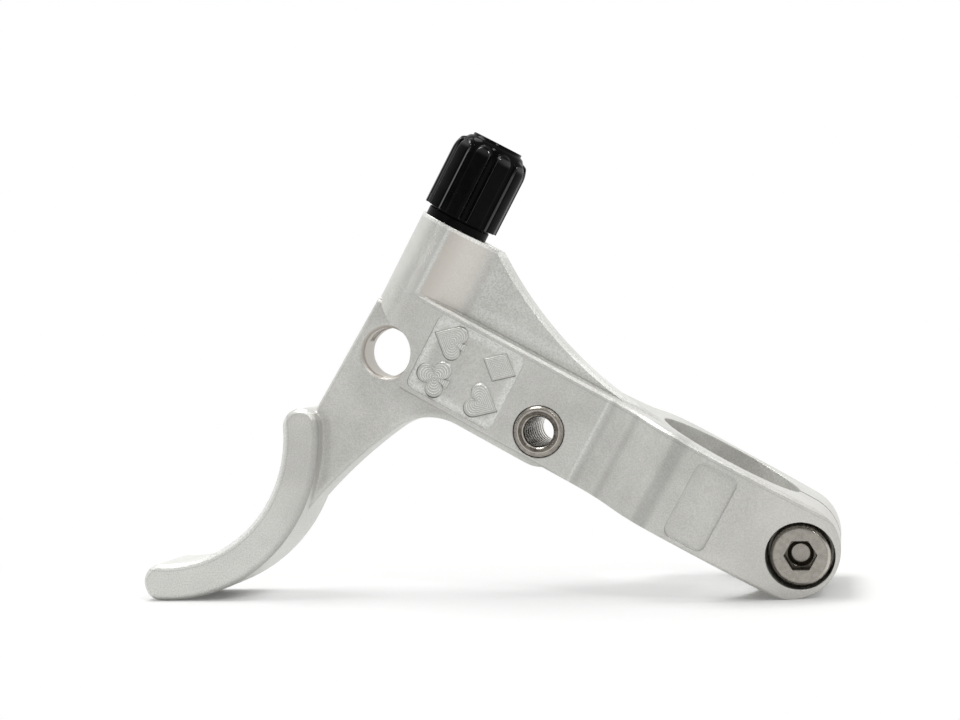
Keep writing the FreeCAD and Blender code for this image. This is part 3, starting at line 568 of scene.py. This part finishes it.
sleeve_rings = [turned_ring(sleeve, sleeve_front, DEPTH, height, radius)
                for height, radius in sleeve_profile]
skin(sleeve, sleeve_rings + sleeve_rings[:1])
pivot_metal = turned("pivot steel", STAINLESS, STAINLESS_SHADE, roughness=0.22, axis_point=PIVOT,
                     bands=PIVOT_LIGHT_AND_SHADE_BANDS, thread_start=sleeve_front.y - PIVOT.y + SLEEVE_CHAMFER)
threaded_pivot = new_piece("threaded_pivot", sleeve, "perch", pivot_metal)
smooth_turned(threaded_pivot)
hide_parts("pivot_sleeve")
dress("pivot_ring", turned(
    "ring steel", SPRING_STEEL, SPRING_STEEL_SHADE, roughness=0.38, axis_point=PIVOT))
for bush in ("pivot_bush_front", "pivot_bush_rear"):
    dress(bush, turned(bush + " bronze", BRONZE, BRONZE_SHADE, roughness=0.34, axis_point=PIVOT))

# Clamp bolt: an M5 socket head cap screw in stainless steel, cold-headed, with a plain washer under it.
# It goes through the perch's counterbored end and draws the clamp cap up on the bar.
bolt_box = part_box("clamp_bolt")
BOLT = (bolt_box[0] + bolt_box[1]) / 2
# Rings of the bolt's head from the middle out: its face, a painted highlight on its chamfer and painted
# shade on its side.
BOLT_LIGHT_AND_SHADE_BANDS = [(0.0, 3.75, 0.55), (3.75, 4.1, 1.0), (4.1, 5.0, 0.1)]
HEX_FLOOR, HEX_CORNER = 1.3 * MM, 2.4 * MM
HEX_MOUTH = bolt_box[0].y - BOLT.y + 0.05 * MM
dress("clamp_bolt", turned(
    "bolt steel", STAINLESS, STAINLESS_SHADE, roughness=0.24, axis_point=BOLT, bands=BOLT_LIGHT_AND_SHADE_BANDS,
    socket=(HEX_MOUTH, HEX_FLOOR, HEX_CORNER)))
dress("clamp_washer", turned(
    "washer steel", STAINLESS, STAINLESS_SHADE, roughness=0.30, axis_point=BOLT))

# Cable adjuster: a hollow threaded barrel in dark anodised aluminium with a ribbed grip moulded on it.
# The grip is glossy black plastic with arched ribs, and a black detent ring lies between it and the boss.
GRIP_BLACK = (0.002, 0.002, 0.0022, 1)
DETENT_BLACK = (0.002, 0.002, 0.002, 1)
PLASTIC = {"Specular IOR Level": 0.04, "Coat Roughness": 0.05, "Coat IOR": 2.2}
FLOW_SIZE = 2.0 * MM
FLOW_DEPTH = 0.008 * MM
FLOW_TINT = 1.8
FLOW_ROUGHNESS = 0.06
GRIP_LOW, GRIP_HIGH = 21.4 * MM, 33.9 * MM
GRIP_LENGTH = GRIP_HIGH - GRIP_LOW
GRIP_HOLE = 3.52 * MM
GRIP_STEPS = 240
LENGTH_STEPS = 72
COLLAR = 4.75 * MM
COLLAR_TOP, COLLAR_STEP = 0.3 * MM, 0.01 * MM
BARREL = 5.1 * MM
BARREL_TOP = 9.0 * MM
DOME_FADE, DOME_DULL = 1.2 * MM, 0.7
RIM = 3.9 * MM
RIM_LOW = 12.1 * MM
RIM_CHAMFER = 0.1 * MM
RIB_COUNT = 10
RIB_HALF = 1.18 * MM
RIB_HEIGHT = 0.72 * MM
RIB_ARCH = 11.4 * MM
RIB_EDGE = 0.26 * MM
RIB_POLISH = (BARREL + RIB_HEIGHT * 0.45, BARREL + RIB_HEIGHT * 0.8)
POLISH_SOFT = RIB_HEIGHT * 0.1
BARREL_METAL = (0.22, 0.22, 0.225, 1)
BARREL_METAL_SHADE = (0.10, 0.10, 0.105, 1)
BARREL_WEAR = 0.6 * MM
BARREL_ROUGHNESS, BARREL_SCUFF = 0.30, 0.12
BARREL_FOOT = 10.6 * MM
BARREL_CREST, BARREL_ROOT = 3.5 * MM, 3.08 * MM
BARREL_PITCH = 0.75 * MM
SOCKET, SOCKET_DEPTH = 2.6 * MM, 8.0 * MM
CABLE_HOLE = 1.3 * MM


def step(value, low, high):
    """A smooth step of plain numbers."""
    share = min(max((value - low) / (high - low), 0.0), 1.0)
    return share * share * (3 - 2 * share)


def grip_radius(angle, height):
    """The grip's radius at an angle about the cable and a height above its foot."""
    if height < COLLAR_TOP:
        return COLLAR
    share = min(max(height - BARREL_TOP, 0.0) / (RIM_LOW - BARREL_TOP), 1.0)
    dome = math.sqrt(1 - share ** 2)
    sector = math.tau / RIB_COUNT
    from_groove = abs((angle + sector / 2) % sector - sector / 2)
    across = (sector / 2 - from_groove) * BARREL
    arch = math.hypot(across, max(height - (RIB_ARCH - RIB_HALF), 0.0))
    rib = RIB_HEIGHT * (1 - step(arch, RIB_HALF - RIB_EDGE, RIB_HALF + RIB_EDGE / 2))
    return RIM + (BARREL + rib - RIM) * dome


def moulded(name, colour, roughness):
    """Moulded black plastic with a faint flow pattern, and polished by fingers along the ribs' edges."""
    material, start = surface(name, PLASTIC)
    aside, across, above = from_pivot(start)
    reach = reach_from(aside - CABLE_LINE, across)
    polished = within(reach, *RIB_POLISH, POLISH_SOFT)
    domed = ramp(above, GRIP_LOW + BARREL_TOP, GRIP_LOW + BARREL_TOP + DOME_FADE)
    flow = noise(start, FLOW_SIZE)
    tint = tuple(FLOW_TINT * c for c in colour[:3]) + (1,)
    start.feed("Coat Weight", polished * (1 - domed * DOME_DULL))
    start.feed("Base Color", mix(start, flow, colour, tint))
    start.feed("Roughness", roughness + flow * FLOW_ROUGHNESS)
    start.feed("Normal", rounded_bump(start, flow, FLOW_DEPTH, EDGE_ROUND))
    return material


def barrel_thread(angle, height):
    """The barrel's radius along its rolled thread."""
    return BARREL_ROOT + (BARREL_CREST - BARREL_ROOT) * thread_share(angle, height, BARREL_PITCH)


grip = bmesh.new()
foot = PIVOT + ALONG * CABLE_LINE + RISE * GRIP_LOW
heights = sorted([RIM_LOW * i / LENGTH_STEPS for i in range(LENGTH_STEPS + 1)]
                 + [COLLAR_TOP - COLLAR_STEP, COLLAR_TOP + COLLAR_STEP])
grip_profile = [(GRIP_LENGTH, GRIP_HOLE), (0.0, GRIP_HOLE)] + [(height, grip_radius) for height in heights]
grip_profile += [(GRIP_LENGTH - RIM_CHAMFER, RIM), (GRIP_LENGTH, RIM - RIM_CHAMFER)]
grip_rings = [turned_ring(grip, foot, RISE, height, radius, GRIP_STEPS) for height, radius in grip_profile]
skin(grip, grip_rings + grip_rings[:1])
grip_plastic = moulded("grip plastic", GRIP_BLACK, roughness=0.07)
ribbed_grip = new_piece("ribbed_grip", grip, "adjuster", grip_plastic)
ribbed_grip.data.shade_smooth()
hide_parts("adjuster_cap")
dress("adjuster_detent", moulded("detent plastic", DETENT_BLACK, roughness=0.30))

barrel_metal, barrel_start = surface("barrel metal", {"Metallic": 1.0})
barrel_wear = noise(barrel_start, BARREL_WEAR)
barrel_start.feed("Base Color", mix(barrel_start, barrel_wear, BARREL_METAL_SHADE, BARREL_METAL))
barrel_start.feed("Roughness", BARREL_ROUGHNESS + barrel_wear * BARREL_SCUFF)
thread_length, barrel_length = GRIP_LOW - BARREL_FOOT, GRIP_HIGH - BARREL_FOOT
thread_rings = round(thread_length / BARREL_PITCH * THREAD_STEPS)
barrel_profile = [(thread_length * i / thread_rings, barrel_thread) for i in range(thread_rings + 1)] + [
    (thread_length, BARREL_CREST), (barrel_length, BARREL_CREST), (barrel_length, SOCKET),
    (barrel_length - SOCKET_DEPTH, SOCKET), (barrel_length - SOCKET_DEPTH, CABLE_HOLE), (0.0, CABLE_HOLE)]
barrel = bmesh.new()
barrel_base = PIVOT + ALONG * CABLE_LINE + RISE * BARREL_FOOT
barrel_rings = [turned_ring(barrel, barrel_base, RISE, height, radius) for height, radius in barrel_profile]
skin(barrel, barrel_rings + barrel_rings[:1])
threaded_barrel = new_piece("threaded_barrel", barrel, "adjuster", barrel_metal)
smooth_turned(threaded_barrel)
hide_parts("adjuster_screw")

# Studio: a white table in a soft white tent, with a softbox overhead, a small key lamp and a narrow strip.
# The tent is greyer on the camera's side, so that the milled faces read against the white.
TABLE = {"Base Color": (0.68, 0.68, 0.675, 1), "Roughness": 0.9}
WHITE = (1, 1, 1, 1)
FLOOR_SIZE = 6.0
FLOOR_SQUEEZE = 0.6
FLOOR_FADE = (0.020, 0.062)
FLOOR_GAP = (-0.036, 0.036)
GAP_SOFT = 0.005
GAP_SHARE = 0.5
bpy.ops.mesh.primitive_plane_add(size=FLOOR_SIZE, location=(0, 0, 0))
floor = bpy.context.object
floor.name = "floor"
table, table_start = surface("table", TABLE)
table_place = place(table_start)
oval = table_start.node("VectorMath", {"operation": "MULTIPLY"}, {0: table_place, 1: (FLOOR_SQUEEZE, 1, 0)})
distance = table_start.node("VectorMath", {"operation": "LENGTH"}, {0: oval}, "Value")
outside = ramp(distance, *FLOOR_FADE)
# Between the feet the table turns half to emissive white: painted light that lightens the lever's cast
# shadow there.
painted_light_between_feet = within(dot(table_place, (1, 0, 0)), *FLOOR_GAP, GAP_SOFT)
seen = table_start.node("LightPath", {}, {}, "Is Camera Ray") + table_start.node(
    "LightPath", {}, {}, "Is Glossy Ray")
white = table_start.node("Emission", {}, {"Color": WHITE, "Strength": 1.0})
plain = Field(table.node_tree, table.node_tree.nodes["Principled BSDF"].outputs[0])
fade = (outside + (1 - outside) * painted_light_between_feet * GAP_SHARE) * seen
table_start.join(table.node_tree.nodes["Material Output"].inputs["Surface"],
                 table_start.node("MixShader", {}, {0: fade, 1: plain, 2: white}))
floor.data.materials.append(table)

TENT_FRONT = (0.36, 0.36, 0.355, 1)
TENT_FADE = (0.0, 0.9)
world = bpy.data.worlds.new("tent")
bpy.context.scene.world = world
world.use_nodes = True
tent = Field(world.node_tree)
towards_camera = dot(tent.node("TexCoord", {}, {}, "Generated"), (0, -1, 0))
unseen = 1 - tent.node("LightPath", {}, {}, "Is Camera Ray")
tent.join(world.node_tree.nodes["Background"].inputs["Color"],
          mix(tent, ramp(towards_camera, *TENT_FADE) * unseen, WHITE, TENT_FRONT))


def softbox(name, location, target, width, height, power):
    """A rectangular soft lamp that faces a point."""
    lamp = bpy.data.lights.new(name, "AREA")
    lamp.shape = "RECTANGLE"
    lamp.size, lamp.size_y, lamp.energy = width, height, power
    item = bpy.data.objects.new(name, lamp)
    bpy.context.scene.collection.objects.link(item)
    item.location = location
    item.rotation_euler = (Vector(target) - Vector(location)).to_track_quat("-Z", "Y").to_euler()


softbox("overhead", (-0.14, 0.02, 0.62), PIVOT, width=0.30, height=0.24, power=2.6)
softbox("key", (0.30, -0.34, 0.46), PIVOT, width=0.06, height=0.10, power=0.8)
softbox("strip", (-0.28, -0.42, 0.13), foot, width=0.012, height=0.12, power=0.08)

# Camera: a 60 mm lens a little to the right of the lever's front and level with it.
# Its roll sets the lever at the slope that the photograph shows.
CAMERA_FROM_PIVOT = Vector((0.04334, -0.23040, 0.01245))
CAMERA_TURN = math.radians(12.89)
CAMERA_TILT = math.radians(89.54)
SLOPE_SEEN = math.radians(27.82)
lens = bpy.data.cameras.new("camera")
lens.sensor_width = 36.0
lens.lens = 59.92
lens.clip_start, lens.clip_end = 0.01, 20.0
camera = bpy.data.objects.new("camera", lens)
bpy.context.scene.collection.objects.link(camera)
camera.matrix_world = (
    Matrix.Translation(PIVOT + CAMERA_FROM_PIVOT)
    @ Matrix.Rotation(CAMERA_TURN, 4, "Z")
    @ Matrix.Rotation(CAMERA_TILT, 4, "X")
    @ Matrix.Rotation(SLOPE_SEEN - math.atan2(RISE.x, RISE.z), 4, "Z"))
bpy.context.scene.camera = camera
bpy.context.scene.view_settings.view_transform = "Standard"
